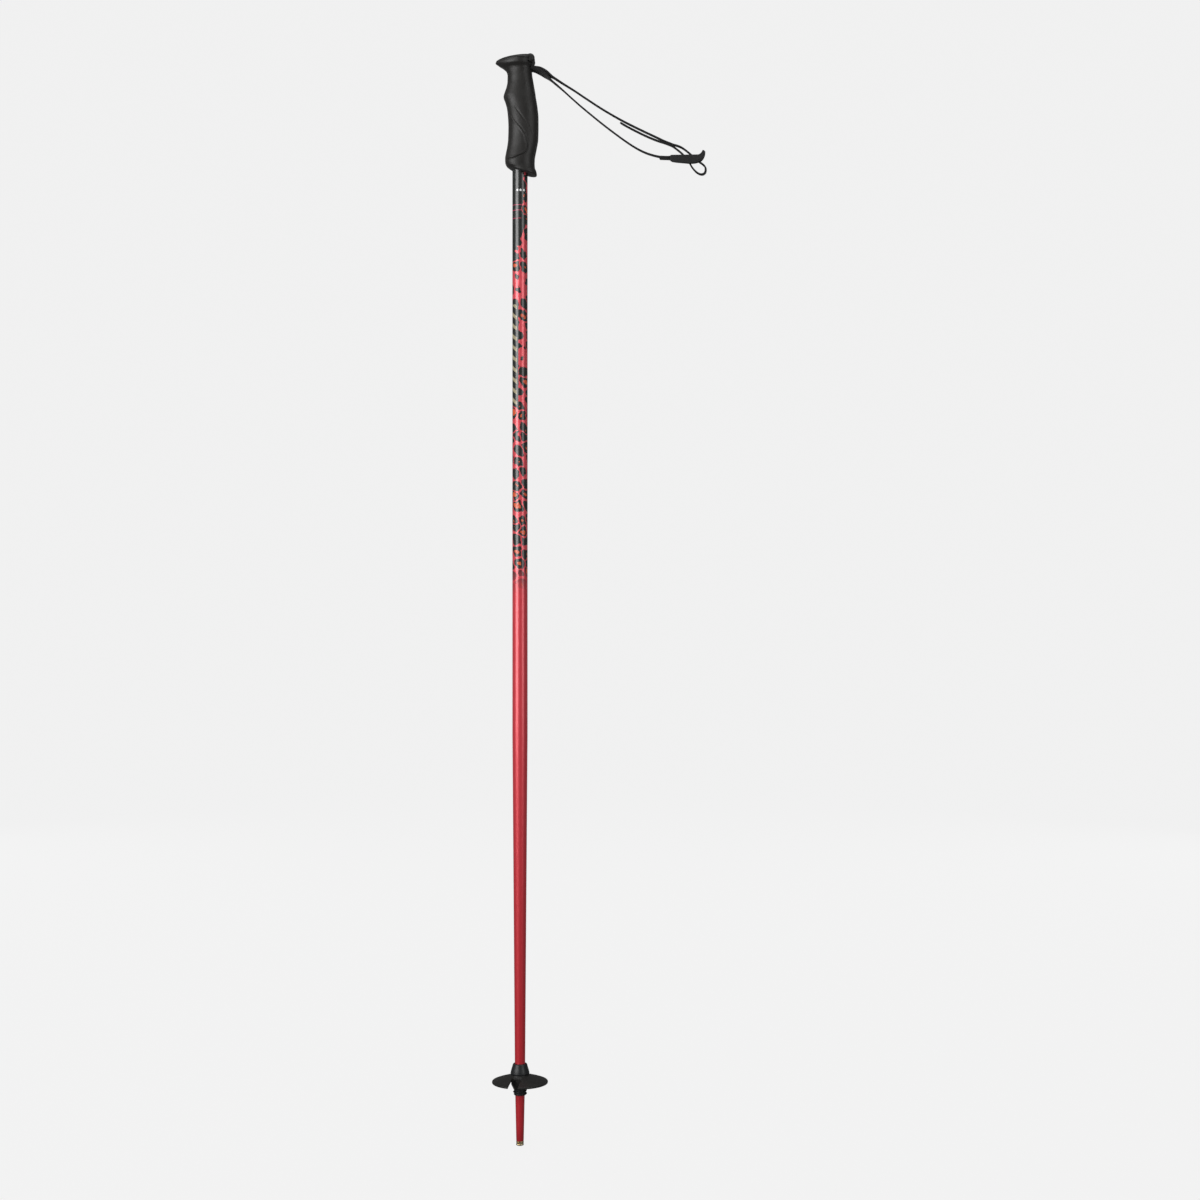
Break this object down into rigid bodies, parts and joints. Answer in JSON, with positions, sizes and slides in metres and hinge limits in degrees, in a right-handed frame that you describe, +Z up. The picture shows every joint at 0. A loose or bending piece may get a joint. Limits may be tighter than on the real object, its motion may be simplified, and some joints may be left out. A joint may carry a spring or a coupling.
{
  "type": "ski pole",
  "caption": "Alpine ski pole: tapered metal shaft, moulded grip with a webbing wrist strap and ladder buckle, turning basket on a threaded ferrule, hollow-ground tip.",
  "frame": {"origin": "centre of the tip's end, where the pole stands in the snow", "axes": "+Z up the shaft to the grip, -X towards the grip's beak, +X towards the strap"},
  "size_m": [0.227, 0.059, 1.15],
  "materials": {
    "shaft_lacquer": "red metallic lacquer over aluminium, spotted decal on the upper half",
    "tip_steel": "turned, warm steel",
    "basket_plastic": "fine moulded grain",
    "core_plastic": "moulded",
    "grip_rubber": "satin soft-touch",
    "cap_plastic": "satin moulded",
    "zinc_steel": "zinc plated",
    "webbing": "woven polyester webbing",
    "buckle_plastic": "satin moulded"
  },
  "bodies": {
    "pole": {"shaft": "shaft_lacquer", "tip_insert": "tip_steel", "basket_ferrule": "basket_plastic", "grip_core": "core_plastic", "grip_body": "grip_rubber", "head_cap": "cap_plastic", "cap_screw": "zinc_steel", "strap_pin": "zinc_steel", "strap_root": "webbing"},
    "basket": {"basket": "basket_plastic"},
    "strap": {"strap_upper_run": "webbing", "strap_lower_run": "webbing"},
    "buckle": {"buckle": "buckle_plastic", "strap_bar_fold": "webbing", "strap_slack_loop": "webbing", "strap_tail": "webbing"}
  },
  "joints": [
    {"name": "basket_turn", "type": "hinge", "parent": "pole", "child": "basket", "pos_m": [0, 0, 0.07], "axis": [0, 0, 1], "continuous": true},
    {"name": "strap_swing", "type": "hinge", "parent": "pole", "child": "strap", "pos_m": [0.014, 0, 1.1353], "axis": [0, 1, 0], "range_deg": [-85, 40]},
    {"name": "buckle_slide", "type": "slide", "parent": "strap", "child": "buckle", "axis": [0.8655, 0, -0.5009], "range_m": [-0.035, 0.02], "deforming": ["strap_upper_run", "strap_lower_run"]}
  ]
}
